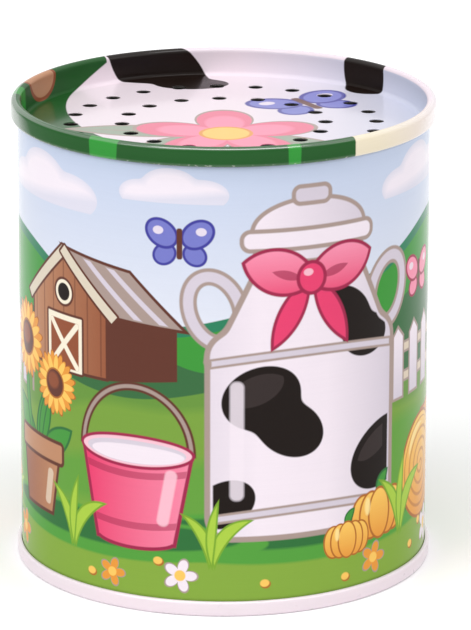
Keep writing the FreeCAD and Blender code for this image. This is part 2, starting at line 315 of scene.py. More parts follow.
def barn(art):
    line = inks["brownDark"]
    art.draw(art.facet((10, 0), (25, 1.6), (25, 11.6), (10, 13.4)), inks["brownDark"], line, 0.5)
    roof = art.facet((11.6, 12.4), (27, 11), (16, 21.6), (-0.4, 24))
    art.draw(roof, inks["taupe"], line)
    courses = art.beyond((0, 0), (0.66, 0.75)).maths("PINGPONG", 1.5) - 0.5
    art.lay(inks["lilacShade"], both(roof + 0.6, courses))
    gable = art.facet((-11, 0), (11, 0), (11, 13), (0, 22.6), (-11, 13))
    art.draw(gable, art.fade(art.across, -12, 14, inks["brownLit"], inks["brown"]), line)
    art.lay(line, both(gable + 0.5, art.across.maths("PINGPONG", 1.6) - 0.14), 0.45)
    for sign in (-1, 1):
        art.draw(art.slab((sign * 6.2, 17.6), (8.9, 1.15), 0.3, -sign * 0.73), inks["cream"], line, 0.5)
    art.draw(art.slab((0, 5.2), (5.2, 5.6)), inks["cream"], line, 0.5)
    door = art.slab((0, 4.9), (4.1, 4.6))
    art.lay(inks["brown"], door)
    for turn in (0.84, -0.84):
        art.lay(inks["cream"], both(door, art.slab((0, 4.9), (6.4, 0.55), 0.3, turn)))
    art.draw(art.oval((0, 15), (2.6, 2.6)), inks["cream"], line, 0.5)
    art.lay(inks["black"], art.oval((0, 15), (1.7, 1.7)))


def churn(art):
    line = inks["taupe"]
    for sign in (-1, 1):
        loop = abs(art.oval((sign * 13.4, 32.5), (3.4, 4.8), sign * -0.35)) - 0.95
        art.draw(loop, inks["lilacShade"], line, 0.5)
    drum = art.slab((0, 14.6), (14.4, 14.6), 3.2)
    tub = either(drum, art.facet((-13.6, 26), (13.6, 26), (8, 37.6), (-8, 37.6)), 1.6)
    art.draw(tub, art.fade(abs(art.across + 2.5), 5, 17, inks["white"], inks["lilacShade"]), line, 0.8)
    patches = either(art.oval((-7, 20), (5.6, 4.4), 0.3), art.oval((-3, 15.4), (5.2, 3.8), -0.5), 2.4)
    patches = either(patches, art.oval((12.5, 9.6), (6.4, 4.6), 0.5))
    patches = either(patches, either(art.oval((5.6, 31), (4.6, 3.2), -0.6), art.oval((9, 27), (4, 3)), 2))
    patches = either(patches, art.oval((-12, 5), (4.4, 3.2), 0.5))
    patches = both(patches, tub + 0.75)
    art.lay(inks["black"], patches)
    for at, radii, turn in (((-8, 21.4), (4.2, 2.4), 0.35), ((11, 11.4), (4, 1.8), 0.5)):
        art.lay(inks["blackLit"], both(patches + 1.1, art.oval(at, radii, turn)), 0.8)
    for level in (3.9, 26.1):
        sag = (art.across * art.across).maths("MULTIPLY_ADD", -0.006, level)
        art.draw(both(abs(art.up - sag) - 0.55, tub + 0.4), inks["lilacShade"], line, 0.35)
    art.lay(inks["white"], art.slab((-10.4, 14), (0.9, 8.4), 0.8), 0.75, 0.5)
    for reach in (art.slab((0, 39), (8, 2.6), 0.8), art.oval((0, 43.2), (8.4, 4.4))):
        art.draw(reach, art.fade(art.across, -7, 9, inks["white"], inks["lilacShade"]), line)
    art.draw(art.slab((0, 42), (9.8, 1.35), 1.2), inks["white"], line)
    art.draw(art.slab((0, 48), (2.7, 1.2), 1.0), inks["lilacShade"], line)
    art.stamp(bow, (0, 36.4))


def bow(art):
    line = inks["pinkLine"]
    for sign in (-1, 1):
        art.draw(art.leaf((sign * 0.4, 0), (sign * 5.6, -9.6), 3.2), inks["pink"], line, 0.45)
        loop = art.leaf((sign * -0.6, -0.4), (sign * 9.6, 2.6), 6.2)
        art.draw(loop, art.fade(art.up, -3, 4, inks["pink"], inks["pinkLit"]), line, 0.5)
        art.lay(line, art.leaf((sign * 1.4, 0), (sign * 5.6, 1.2), 1.2), 0.7)
    art.draw(art.oval((0, 0), (2, 2.2)), inks["pink"], line, 0.5)
    art.lay(inks["pinkPale"], art.oval((-0.5, 0.8), (0.7, 0.5)), 0.9)


def pail(art):
    line = inks["pinkLine"]
    hoop = both(abs(art.oval((0, 15), (9.3, 10.4))) - 0.5, art.beyond((0, 15), (0, -1)))
    art.draw(hoop, inks["taupe"], inks["brownDark"], 0.4)
    wall = art.facet((-6.6, 0.4), (6.6, 0.4), (9.4, 15), (-9.4, 15))
    wall = either(wall, art.oval((0, 0.9), (6.6, 1.5)))
    art.draw(wall, art.fade(art.across, -8, 13, inks["pink"], inks["pinkLit"]), line)
    for level in (3.0, 11.2):
        sag = (art.across * art.across).maths("MULTIPLY_ADD", 0.012, level)
        art.lay(line, both(abs(art.up - sag) - 0.5, wall + 0.4), 0.55)
    art.lay(inks["pinkPale"], art.slab((5.4, 8), (0.95, 4.6), 0.9, -0.18), 0.85, 0.4)
    art.draw(art.oval((0, 15), (9.6, 2.5)), inks["pinkPale"], line, 0.5)
    art.lay(inks["lilacShade"], art.oval((0, 14.9), (8.5, 1.85)))
    art.lay(inks["white"], art.oval((0.3, 14.6), (7.9, 1.45)))


def pumpkin(art):
    line = inks["strawLine"]
    art.draw(art.leaf((0, 7), (2, 11.4), 2, 0.7), inks["leafGreen"], inks["ground"], 0.4)
    for aside in (-3.9, 3.9, -2.1, 2.1, 0):
        rib = art.oval((aside, 4.2), (2.6, 4.4 - abs(aside) * 0.14))
        art.draw(rib, art.fade(art.up, 0, 8, inks["strawDark"], inks["straw"]), line, 0.4)
    art.lay(inks["strawLit"], art.oval((-2.9, 5.9), (0.6, 1.5)), 0.85, 0.5)


def bale(art):
    line = inks["strawLine"]
    roll = either(art.oval((6, 0.8), (8.6, 9.2)), art.slab((3, 0.4), (3.4, 9.2)))
    art.draw(roll, inks["strawDark"], line, 0.5)
    end = art.fade(art.up, -9, 8, inks["strawDark"], inks["straw"])
    art.draw(art.oval((0, 0), (8.8, 9.2)), end, line, 0.55)
    swing = art.up.maths("ARCTAN2", art.across) / fullTurn
    coil = art.place.vector("LENGTH").maths("MULTIPLY_ADD", 0.52, swing).maths("FRACT") - 0.5
    art.lay(line, both(abs(coil) - 0.1, art.oval((0, 0), (7.8, 8.2))), 0.6)
    art.lay(inks["strawLit"], art.leaf((-6, 2.6), (0.6, 7.2), 1.3, 1.6), 0.85)


def sunflower(art):
    art.draw(art.flower(13, 3.6, 3.6, 0.24), inks["strawDark"], inks["strawLine"], 0.4)
    art.draw(art.flower(13, 3.2, 3.3), inks["straw"], inks["strawDark"], 0.4)
    art.draw(art.oval((0, 0), (3.2, 3.2)), inks["brownDark"], inks["strawLine"], 0.4)
    art.lay(inks["brown"], art.oval((-0.5, 0.6), (2, 1.8)), 0.9, 0.8)


def flowerPot(art):
    line = inks["brownDark"]
    for root, tip, width in (((0, 9), (-9, 17), 4.4), ((1, 9), (9.6, 15), 4.2), ((0, 9), (3.6, 21), 4)):
        art.draw(art.leaf(root, tip, width), inks["leafGreen"], inks["ground"], 0.45)
    for root, head, size in (((-1, 9), (-4.6, 27), 0.9), ((1, 9), (5.4, 22), 0.74)):
        art.draw(art.leaf(root, head, 1.5, 1.6), inks["leafGreen"], inks["ground"], 0.35)
        art.stamp(sunflower, head, size)
    pot = art.facet((-4.6, 0), (4.6, 0), (6.6, 10), (-6.6, 10))
    art.draw(pot, art.fade(art.across, -6, 6, inks["brown"], inks["brownLit"]), line)
    art.lay(inks["cream"], art.slab((3.6, 4.4), (0.7, 3), 0.6, -0.18), 0.5, 0.4)
    art.draw(art.slab((0, 10.4), (7.5, 1.8), 0.7), inks["brownLit"], line)


def tuft(art):
    for tip, width, rise in (((-5.4, 10), 1.9, -1.6), ((7.4, 9), 2.3, 2.2), ((1.2, 12.6), 1.7, 0.7)):
        art.draw(art.leaf((tip[0] * 0.08, 0), tip, width, rise), inks["lime"], inks["limeDark"], 0.35)


def daisy(art, petalInk="white"):
    art.draw(art.flower(5, 1.3, 1.7), inks[petalInk], inks["taupe"], 0.3)
    art.lay(inks["straw"], art.oval((0, 0), (0.95, 0.95)))


def pinkDaisy(art):
    daisy(art, "pinkPale")


def buttercup(art):
    daisy(art, "strawDark")


def butterfly(art, wingInk="blueLit", edgeInk="blue"):
    for sign in (-1, 1):
        art.draw(art.oval((sign * 2.6, -1.9), (2, 1.7), sign * -0.6), inks[wingInk], inks[edgeInk], 0.45)
        art.draw(art.oval((sign * 3.1, 1.7), (2.9, 2.2), sign * 0.6), inks[wingInk], inks[edgeInk], 0.5)
        art.lay(inks["white"], art.oval((sign * 3.7, 2.2), (0.9, 0.7)), 0.85)
    art.lay(inks["brownDark"], art.slab((0, 0), (0.5, 2.7), 0.4))


def pinkButterfly(art):
    butterfly(art, "pinkLit", "pinkLine")


def tree(art):
    art.draw(art.facet((-2.6, 0), (2.6, 0), (1.5, 16), (-1.5, 16)), inks["brown"], inks["brownDark"])
    crown = either(art.oval((0, 24), (10, 8.6)), art.oval((-8, 19), (7, 6)), 1.5)
    crown = either(crown, art.oval((8.4, 18.6), (7, 6)), 1.5)
    art.draw(crown, art.fade(art.up, 14, 31, inks["ground"], inks["brightHill"]), inks["darkHill"], 0.7)
    for at, blossom in (((-8, 20), pinkDaisy), ((0, 27), daisy), ((7, 21), pinkDaisy), ((-1, 19), daisy)):
        art.stamp(blossom, at, 0.8)


def kernel(art):
    art.lay(inks["strawLine"], art.oval((0.15, -0.2), (0.85, 0.7)))
    art.lay(inks["straw"], art.oval((0, 0), (0.75, 0.62)))


def shadow(art):  # dark ground under a motif
    art.lay(inks["groundSoft"], art.oval((0, -0.3), (13, 1.7)))
    art.lay(inks["ground"], art.oval((0, 0), (11, 1.1)))


# Each place is along the wall from its front, up from the floor, and a size
skyPrint = (
    (cloud, ((-36, 66, 0.9), (-10, 68.6, 0.62), (37, 67, 0.8), (-84, 64, 1.1), (82, 66, 0.9))),
)
wallPrint = (
    (fence, ((31, 31, 1), (-72, 31, 1))),
    (barn, ((-30, 37, 0.84),)),
    (shadow, ((13, 13.6, 2.7), (-23, 12.4, 2.2), (-70, 8, 2), (70, 16, 2), (86, 22.4, 0.7),
              (-90, 24.4, 0.65))),
    (tree, ((86, 22, 1.15), (-90, 24, 1.05))),
    (bale, ((41, 17.5, 0.95), (-66, 15, 1.0), (66, 24, 0.7))),
    (churn, ((12.5, 12.6, 1.15),)),
    (flowerPot, ((-38, 12, 1.0),)),
    (pail, ((-16, 10.8, 1.02),)),
    (pumpkin, ((26.4, 9.4, 0.95), (19.4, 7.6, 0.68), (-54, 9, 0.9), (76, 12, 0.9))),
    (tuft, ((-28, 8.4, 0.9), (-3.4, 8, 0.85), (32, 8.6, 1.0), (-52, 7, 0.8), (-80, 8, 0.9), (74, 7, 0.9))),
    (daisy, ((-8.4, 6.4, 0.95), (44, 6.4, 1.1), (60, 12, 1.1))),
    (buttercup, ((25, 6.2, 0.9), (-45, 6.6, 1), (-20, 5.6, 0.8), (96, 9, 1.1))),
    (kernel, ((-24, 5.0, 1), (-12, 8.6, 1), (5, 5.2, 1), (36, 5.4, 1), (40, 8.2, 1), (19, 4.4, 1))),
    (butterfly, ((-8.4, 60.4, 0.92),)),
    (pinkButterfly, ((38.4, 50, 0.85),)),
)


def drawHills(art, girth):
    hill(art, girth, 53, ((5.6, 2, -1.16), (1.2, 5, 1.0)), inks["farRidge"])
    hill(art, girth, 51.3, ((5.6, 2, -1.16), (1.2, 5, 1.0)), inks["brightHill"])
    hill(art, girth, 43.5, ((4, 3, 4.3), (1.2, 7, 0)), inks["darkHill"])
    hill(art, girth, 36.5, ((1.8, 4, 0.6),), inks["meadowFar"])
    hill(art, girth, 31, ((2.4, 3, 2.4), (0.8, 8, 1.0)), inks["meadowNear"], 0.55, 3)
    hill(art, girth, 25, ((2.6, 2, 0.4), (0.9, 7, 0.0)), inks["groundSoft"], 0.6, 4)
    hill(art, girth, 14, ((1.4, 3, 3.6), (0.6, 9, 2.0)), inks["meadowNear"], soft=4)


def stampAll(art, prints):
    for motif, places in prints:
        for across, up, size in places:
            art.stamp(motif, (across, up), size)


def drawWall(art, girth):
    art.colour = art.fade(art.up, 46, 74, inks["skyLow"], inks["skyHigh"])
    stampAll(art, skyPrint)
    drawHills(art, girth)
    stampAll(art, wallPrint)


def blossom(art):
    art.draw(art.flower(5, 7, 8, 0.3), inks["petal"], inks["taupe"], 0.7)
    art.lay(inks["pinkLit"], art.flower(5, 4, 7, 0.3), 0.8, 1.5)
    art.draw(art.oval((0, 0), (4, 4)), inks["straw"], inks["strawDark"], 0.6)


def drawLid(art):  # laid flat: the panel, its wall up to the crest, then the outside of the rim
    art.colour = art.fade(art.across, 4, 34, inks["lidWhite"], inks["paleBlue"])
    paleRim = art.fade(art.up, -30, -4, inks["creamRim"], inks["lidWhite"])
    art.lay(paleRim, both(0 - art.oval((0, 0), (36.4, 36.4)), art.beyond((0, 0), (-1, 0))))
    art.lay(inks["rimGreen"], both(0 - art.oval((13, 11), (38, 38)), art.beyond((0, 0), (0.83, 0.56))))
    for angle, half in ((-126, 3.0), (-74, 1.2), (172, 2.6)):
        way = Vector((math.cos(math.radians(angle)), math.sin(math.radians(angle))))
        strip = abs(art.beyond((0, 0), (-way.y, way.x))) - half
        art.lay(inks["rimBright"], both(strip, art.beyond(way * 32, -way)))
    hide = either(art.oval((-12, 33), (11, 6), -0.3), art.oval((-4, 26), (6, 3.6)), 3)
    art.lay(inks["black"], either(hide, art.oval((27, 24), (7, 5), 0.8)))
    art.draw(art.oval((-34, 16), (6, 4.4), 0.6), inks["brownLit"], inks["brown"], 0.7)
    for tip, width in (((-25, -3), 7), ((-17, -21), 8), ((20, -19), 7)):
        art.draw(art.leaf((0, -7), tip, width), inks["greyGreen"], inks["taupe"], 0.6)
        art.lay(inks["taupe"], art.leaf((0, -7), tip, 0.5), 0.8)
    art.stamp(blossom, (0, -7))
    art.stamp(butterfly, (14, 12), 1.5, 0.5)


print("drawing tools ready with", len(inks), "inks")

# Sheet metal: the seams take their place from the frame

seam = {"sheet": 0.28 * mm, "gap": 0.06 * mm, "steps": 192, "bendCuts": 5, "edgeRound": 0.05 * mm,
        "edgeCuts": 2, "edgeAngle": math.radians(50), "weld": 0.001 * mm, "sliver": 0.0001 * mm}
seamPitch = seam["sheet"] + seam["gap"]
halfSheet = seam["sheet"] / 2
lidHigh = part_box("lid_end")[1]
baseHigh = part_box("base_end")[1]
wallMiddle = lidHigh.x - halfSheet - 3 * seamPitch
chuckMiddle = wallMiddle - seamPitch

lidShape = {"recess": 4.5 * mm, "seamHeight": 3.1 * mm, "panelBend": 0.8 * mm,
            "crestBend": 1.8 * seamPitch, "holeRadius": 1.2 * mm, "bandHalf": 2.4 * mm, "bandCuts": 4,
            "rings": ((16, 16.25 * mm), (24, 24.4 * mm))}  # holes and radius of each ring
baseShape = {"recess": 3.6 * mm, "seamHeight": 2.4 * mm, "panelBend": 0.8 * mm, "lipBend": 0.26 * mm}
lockSeam = {"grooveHalf": 0.175 * mm, "grooveDepth": 0.12 * mm, "foldWidth": 4.0 * mm,
            "foldCuts": 4, "setback": 1.5 * mm, "backShare": 0.99}
panelTop = lidHigh.z - lidShape["recess"]

# the wall's last three settings paint shade on the print next to the base lip and the lid's hem
wallGloss = {"roughness": 0.4, "specular": 0.02, "coatRoughness": 0.05, "coatIor": 1.5, "coat": 0.22,
             "edgeCoat": 0.5, "lipPaintedShade": 0.2, "hemPaintedShade": 0.35, "seamShadeInk": ink(70, 66, 58)}
lidGloss = {"roughness": 0.36, "specular": 0.05, "coatRoughness": 0.12, "coatIor": 2.2, "coat": 0.05,
            "shoulderCoat": 0.8, "crestCoat": 0.15, "foldCoat": 0.5, "panelCoat": 0.35, "edgeCoat": 0.9,
            "wear": 0.7, "innerShade": 0.19, "shadeInk": ink(96, 88, 92)}
baseGloss = {"roughness": 0.3, "specular": 0.4, "coatRoughness": 0.1, "coatIor": 1.7, "coat": 0.3,
             "lipCoat": 0.7, "wornBelow": 0.35, "wornInk": ink(216, 208, 210),
             "whites": (ink(241, 226, 234), ink(236, 221, 230))}
tinSheet = {"grainStretch": (0.05, 0.05, 3.4), "grainShare": 0.08, "speckleShare": 0.06,
            "grainInk": ink(196, 196, 204), "bareInk": ink(200, 198, 192), "grainHeight": 0.25,
            "bump": 0.22, "bumpDepth": 0.08 * mm, "roughSpread": 0.14}


def tinFinish(finish, colour, place, bare, coat, gloss):
    grain = finish.noise(place, 1.0, 3.0, tinSheet["grainStretch"])  # rolled lines round the tin
    speckle = finish.noise(place, 5.5, 1.0)  # fine unevenness of the print
    streaks = grain * tinSheet["grainShare"] + speckle * tinSheet["speckleShare"]
    colour = finish.mix(streaks, colour, tinSheet["grainInk"], "MULTIPLY")
    colour = finish.mix(bare, colour, tinSheet["bareInk"])
    dents = finish.noise(place, 0.09, 1.0)
    normal = finish.bump(grain * tinSheet["grainHeight"] + dents, tinSheet["bump"], tinSheet["bumpDepth"])
    smoothest = gloss["roughness"] - tinSheet["roughSpread"] / 2
    rough = finish.noise(place, 0.35, 3.0) * tinSheet["roughSpread"] + smoothest
    finish.close({"Base Color": colour, "Metallic": bare, "Roughness": rough, "Normal": normal,
                  "Specular IOR Level": gloss["specular"], "Coat Weight": coat,
                  "Coat Roughness": gloss["coatRoughness"], "Coat IOR": gloss["coatIor"]})


def printedWall():
    material, finish = newFinish("printedWall")
    place = finish.spot()
    x, y, z = finish.axes(place)
    radius = (wallMiddle + halfSheet) / mm
    around = x.maths("ARCTAN2", y * -1) * radius  # along the wall from its front
    art = Art(finish, finish.add("ShaderNodeCombineXYZ", {}, {0: around, 1: z}))
    drawWall(art, fullTurn * radius)
    lip = baseShape["seamHeight"] / mm
    hem = (lidHigh.z - lidShape["seamHeight"]) / mm
    # painted shade: the print darkens just above the base lip and just below the lid's hem, where the seams shade
    # the wall
    seamShade = ramp(z, lip + 0.45, lip + 0.1) * wallGloss["lipPaintedShade"]
    seamShade = seamShade + ramp(z, hem - 0.6, hem) * wallGloss["hemPaintedShade"]
    colour = finish.mix(seamShade, art.colour, wallGloss["seamShadeInk"], "MULTIPLY")
    bare = finish.fromAxis(place).maths("LESS_THAN", wallMiddle / mm)  # no print on the inside
    coat = ramp(finish.grazing(), 0.5, 0.9) * wallGloss["edgeCoat"] + wallGloss["coat"]
    tinFinish(finish, colour, place, bare, coat, wallGloss)
    return material


def printedLid():
    material, finish = newFinish("printedLid")
    place = finish.spot()
    flat = place.vector("MULTIPLY", (1, 1, 0))
    fromAxis = flat.vector("LENGTH")
    rise = finish.axes(place)[2] - panelTop / mm
    crest = lidShape["recess"] / mm
    outside = fromAxis.maths("GREATER_THAN", (wallMiddle + seamPitch) / mm)
    unrolled = fromAxis + rise + outside * (2 * crest - 2 * rise)  # along the sheet from the middle
    art = Art(finish, flat.scaled(unrolled / fromAxis))
    drawLid(art)
    # bare metal below the panel and in chips along the hem
    under = rise.maths("LESS_THAN", -halfSheet / mm) * fromAxis.maths("LESS_THAN", chuckMiddle / mm)
    hem = crest - lidShape["seamHeight"] / mm
    flecks = ramp(finish.noise(place, 1.7, 3.0), 0.6, 0.66)
    worn = flecks * outside * ramp(rise, hem + 0.5, hem + 0.15) * lidGloss["wear"]
    # most gloss on the bend at the crest, the fold at the hem and the ends seen aslant
    bendMiddle = (lidHigh.x - lidShape["crestBend"] - halfSheet) / mm
    shoulder = ramp(fromAxis, bendMiddle + 0.2, bendMiddle + 0.35) * ramp(rise, crest - 0.42, crest - 0.28)
    fold = outside * ramp(rise, hem + 0.6, hem + 0.2)
    panel = ramp(fromAxis, chuckMiddle / mm - 0.6, chuckMiddle / mm - 1.4)
    edge = outside * ramp(finish.grazing(), 0.6, 0.75)
    coat = shoulder * lidGloss["shoulderCoat"]
    coat = coat + ramp(rise, crest - 0.5, crest - 0.3) * lidGloss["crestCoat"]
    coat = coat + fold * lidGloss["foldCoat"] + panel * lidGloss["panelCoat"]
    coat = (coat + edge * lidGloss["edgeCoat"] + lidGloss["coat"]).maths("MINIMUM", 1.0)
    # the wall round the panel darkens upwards, short of the crest
    inner = (1 - outside) * ramp(rise, 0.4, 3.4) * ramp(rise, crest - 0.1, crest - 0.5)
    colour = finish.mix(inner * lidGloss["innerShade"], art.colour, lidGloss["shadeInk"], "MULTIPLY")
    tinFinish(finish, colour, place, under.maths("MAXIMUM", worn), coat, lidGloss)
    return material


def whiteBase():
    material, finish = newFinish("whiteBase")
    place = finish.spot()
    low = finish.axes(place)[2].maths("LESS_THAN", baseGloss["wornBelow"])
    worn = (finish.noise(place, 1.6, 4.0) - 0.56) * 9 * low  # scuffs on the ring it stands on
    colour = finish.mix(finish.noise(place, 0.2), *baseGloss["whites"])
    colour = finish.mix(worn, colour, baseGloss["wornInk"])
    lip = baseShape["seamHeight"] / mm
    bright = ramp(finish.axes(place)[2], lip - 0.4, lip - 0.2)
    coat = bright * baseGloss["lipCoat"] + baseGloss["coat"]
    tinFinish(finish, colour, place, 0.0, coat, baseGloss)
    return material


def tinplate():
    material, finish = newFinish("tinplate")
    place = finish.spot()
    rolled = finish.noise(place, 1.0, 3.0, (4, 4, 0.2))
    colour = finish.mix(rolled, ink(184, 184, 180), ink(208, 207, 202))
    finish.close({"Base Color": colour, "Metallic": 1.0, "Roughness": rolled * 0.14 + 0.26,
                  "Normal": finish.bump(rolled, 0.2, 0.02 * mm)})
    return material


# Shells

def bentWire(bm, corners, cuts):  # corners are distance from the axis, level and bend
    row = [bm.verts.new((radius, 0, level)) for radius, level, bend in corners]
    for first, second in zip(row, row[1:]):
        bm.edges.new((first, second))
    bends = [(vert, corner[2]) for vert, corner in zip(row, corners) if corner[2]]
    for vert, bend in bends:
        bmesh.ops.bevel(bm, geom=[vert], offset=bend, offset_type="ABSOLUTE", segments=cuts,
                        profile=0.5, affect="VERTICES", material=-1)


def spin(bm, angle, steps, **options):
    geom = bm.verts[:] + bm.edges[:] + bm.faces[:]
    bmesh.ops.spin(bm, geom=geom, cent=(0, 0, 0), axis=(0, 0, 1), dvec=(0, 0, 0), angle=angle,
                   space=Matrix.Identity(4), steps=steps, **options)


def spunShell(corners, steps=seam["steps"], cuts=seam["bendCuts"]):
    bm = bmesh.new()
    bentWire(bm, corners, cuts)
    spin(bm, fullTurn, steps, use_merge=True)
    return bm


def holedBand(count, ringRadius, level):  # one sector with its hole, then copies round the axis
    bm = bmesh.new()
    sector = fullTurn / count
    start = Matrix.Rotation(-sector / 2, 3, "Z")
    ends = [start @ Vector((ringRadius + sign * lidShape["bandHalf"], 0, level)) for sign in (-1, 1)]
    wire = bm.edges.new([bm.verts.new(end) for end in ends])
    bmesh.ops.subdivide_edges(bm, edges=[wire], cuts=lidShape["bandCuts"] - 1)
    spin(bm, sector, seam["steps"] // count)
    inner = [vert for vert in bm.verts if not vert.is_boundary]
    bmesh.ops.delete(bm, geom=inner, context="VERTS")
    bmesh.ops.create_circle(bm, segments=len(bm.edges), radius=lidShape["holeRadius"],
                            matrix=Matrix.Translation((ringRadius, 0, level)))
    bmesh.ops.bridge_loops(bm, edges=bm.edges)
    spin(bm, fullTurn - sector, count - 1, use_duplicate=True)
    return bm


def joined(parts):
    bm = bmesh.new()
    mesh = bpy.data.meshes.new("part")
    for part in parts:
        part.to_mesh(mesh)
        part.free()
        bm.from_mesh(mesh)
    bpy.data.meshes.remove(mesh)
    return bm


def closeSeams(bm):
    bmesh.ops.remove_doubles(bm, verts=bm.verts, dist=seam["weld"])
    bmesh.ops.dissolve_degenerate(bm, edges=bm.edges, dist=seam["sliver"])
    bmesh.ops.recalc_face_normals(bm, faces=bm.faces)


def makePiece(name, bm, material, body, slot, *replaced):
    mesh = bpy.data.meshes.new(name)
    bm.to_mesh(mesh)
    bm.free()
    mesh.shade_smooth()
    mesh.materials.append(material)
    piece = bpy.data.objects.new(name, mesh)
    bpy.context.scene.collection.objects.link(piece)
    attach(piece, body)
    if replaced:
        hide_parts(*replaced)
    return piece


def thicken(piece, thickness):
    wall = piece.modifiers.new("thickness", "SOLIDIFY")
    wall.thickness = thickness
    wall.offset = 0
    wall.use_even_offset = True
    edge = piece.modifiers.new("edge", "BEVEL")
    edge.width = seam["edgeRound"]
    edge.segments = seam["edgeCuts"]
    edge.limit_method = "ANGLE"
    edge.angle_limit = seam["edgeAngle"]
    edge.harden_normals = True


def makeLid():
    level = panelTop - halfSheet
    crest = lidHigh.z - halfSheet
    hem = lidHigh.z - lidShape["seamHeight"] + halfSheet
    outer = wallMiddle + 3 * seamPitch
    hook = wallMiddle + seamPitch
    parts = []
    edge = 0.0
    for count, ringRadius in lidShape["rings"]:
        parts.append(spunShell(((edge, level, 0), (ringRadius - lidShape["bandHalf"], level, 0))))
        parts.append(holedBand(count, ringRadius, level))
        edge = ringRadius + lidShape["bandHalf"]
    parts.append(spunShell((
        (edge, level, 0), (chuckMiddle, level, lidShape["panelBend"]),
        (chuckMiddle, crest, lidShape["crestBend"]), (outer, crest, lidShape["crestBend"]),
        (outer, hem, seamPitch), (hook, hem, seamPitch), (hook, crest - 2 * seamPitch, 0))))
    bm = joined(parts)
    closeSeams(bm)
    lid = makePiece("lid_panel", bm, printedLid(), "tin", "lid_tin", "lid_end")
    thicken(lid, seam["sheet"])


def makeWall():
    foot = halfSheet + seamPitch
    crest = lidHigh.z - halfSheet - seamPitch
    lidHem = lidHigh.z - lidShape["seamHeight"] + halfSheet
    flangeEnd = baseShape["seamHeight"] - seamPitch
    hook = wallMiddle + 2 * seamPitch
    bm = spunShell((
        (wallMiddle + seamPitch, flangeEnd, 0), (wallMiddle + seamPitch, foot, seamPitch / 2),
        (wallMiddle, foot, seamPitch / 2), (wallMiddle, crest, seamPitch), (hook, crest, seamPitch),
        (hook, lidHem + seamPitch, 0)))
    behind = wallMiddle * lockSeam["backShare"]
    for x in (-lockSeam["grooveHalf"], 0, lockSeam["grooveHalf"]):  # pressed line of the lock seam
        back = [face for face in bm.faces if face.calc_center_median().y > behind]
        geom = back + list({edge for face in back for edge in face.edges})
        geom += list({vert for face in back for vert in face.verts})
        bmesh.ops.bisect_plane(bm, geom=geom, dist=seam["sliver"], plane_co=(x, 0, 0), plane_no=(1, 0, 0))
    closeSeams(bm)
    for vert in bm.verts:
        if abs(vert.co.x) < seam["weld"] and abs(vert.co.y - wallMiddle) < halfSheet / 2:
            vert.co.y -= lockSeam["grooveDepth"]
    wall = makePiece("printed_wall", bm, printedWall(), "tin", "printed_tin", "can_body")
    thicken(wall, seam["sheet"])


def makeBase():
    level = baseShape["recess"] + halfSheet
    lip = baseShape["seamHeight"] - halfSheet
    outer = baseHigh.x - halfSheet
    bm = spunShell((
        (0, level, 0), (chuckMiddle, level, baseShape["panelBend"]), (chuckMiddle, halfSheet, seamPitch),
        (outer, halfSheet, seamPitch), (outer, lip, baseShape["lipBend"]),
        (wallMiddle + halfSheet + seam["gap"], lip, 0)))
    closeSeams(bm)
    base = makePiece("base_rim", bm, whiteBase(), "tin", "white_tin", "base_end")
    thicken(base, seam["sheet"])


def makeLockSeam():  # the folded edges that stand in from the wall at the back
    foldHalf = lockSeam["foldWidth"] / 2
    near = wallMiddle - halfSheet - seam["gap"] / 2 - halfSheet
    far = near - seam["sheet"]
    low = baseShape["recess"] + seam["sheet"] + lockSeam["setback"]
    high = panelTop - seam["sheet"] - lockSeam["setback"]
    bm = bmesh.new()
    bentWire(bm, ((-foldHalf, near, 0), (foldHalf, near, halfSheet), (foldHalf, far, halfSheet),
                  (-foldHalf, far, 0)), lockSeam["foldCuts"])
    bmesh.ops.transform(bm, matrix=Matrix.Rotation(-math.pi / 2, 4, "X"), verts=bm.verts)
    bmesh.ops.translate(bm, vec=(0, 0, low), verts=bm.verts)
    drawn = bmesh.ops.extrude_edge_only(bm, edges=bm.edges)["geom"]
    ends = [item for item in drawn if isinstance(item, bmesh.types.BMVert)]
    bmesh.ops.translate(bm, vec=(0, 0, high - low), verts=ends)
    closeSeams(bm)
    fold = makePiece("lock_seam", bm, tinplate(), "tin", "printed_tin")
    thicken(fold, seam["sheet"] - seam["gap"] / 2)


makeWall()
makeLockSeam()
makeLid()
makeBase()
print("tin shells made")

# Works inside the tin

bellowsShape = {"film": 0.4 * mm, "pleats": 10, "depth": 4.6 * mm, "foldHalf": 0.5 * mm,
                "foldBend": 0.38 * mm, "foldCuts": 3, "steps": 120,
                "ringWall": 1.2 * mm, "ringGap": 0.05 * mm}
padShape = {"edgeBend": 0.7 * mm, "sink": 0.1 * mm, "waves": 7, "steps": 96, "fill": 0.9,
            "topRings": (0.7, 0.35, 0)}  # shares of the radius


def cardFinish():
    material, finish = newFinish("greyCard")
    place = finish.spot()
    fibres = finish.noise(place, 1.3, 6.0, (1, 1, 0.45))
    colour = finish.mix(fibres, ink(146, 139, 127), ink(196, 188, 176))
    specks = ramp(finish.noise(place, 3.2, 1.0), 0.62, 0.7)
    colour = finish.mix(specks * 0.5, colour, ink(96, 90, 82))
    finish.close({"Base Color": colour, "Roughness": fibres * 0.2 + 0.74, "Specular IOR Level": 0.2,
                  "Normal": finish.bump(fibres, 0.4, 0.1 * mm)})
    return material


def mouldedFinish(name, deep, bright):
    material, finish = newFinish(name)
    place = finish.spot()
    flow = finish.noise(place, 0.14, 2.0, (1, 1, 0.3))
    skin = finish.noise(place, 6.0, 2.0)
    finish.close({"Base Color": finish.mix(flow, deep, bright), "Roughness": skin * 0.2 + 0.36,
                  "Specular IOR Level": 0.4, "Normal": finish.bump(skin, 0.2, 0.03 * mm)})
    return material


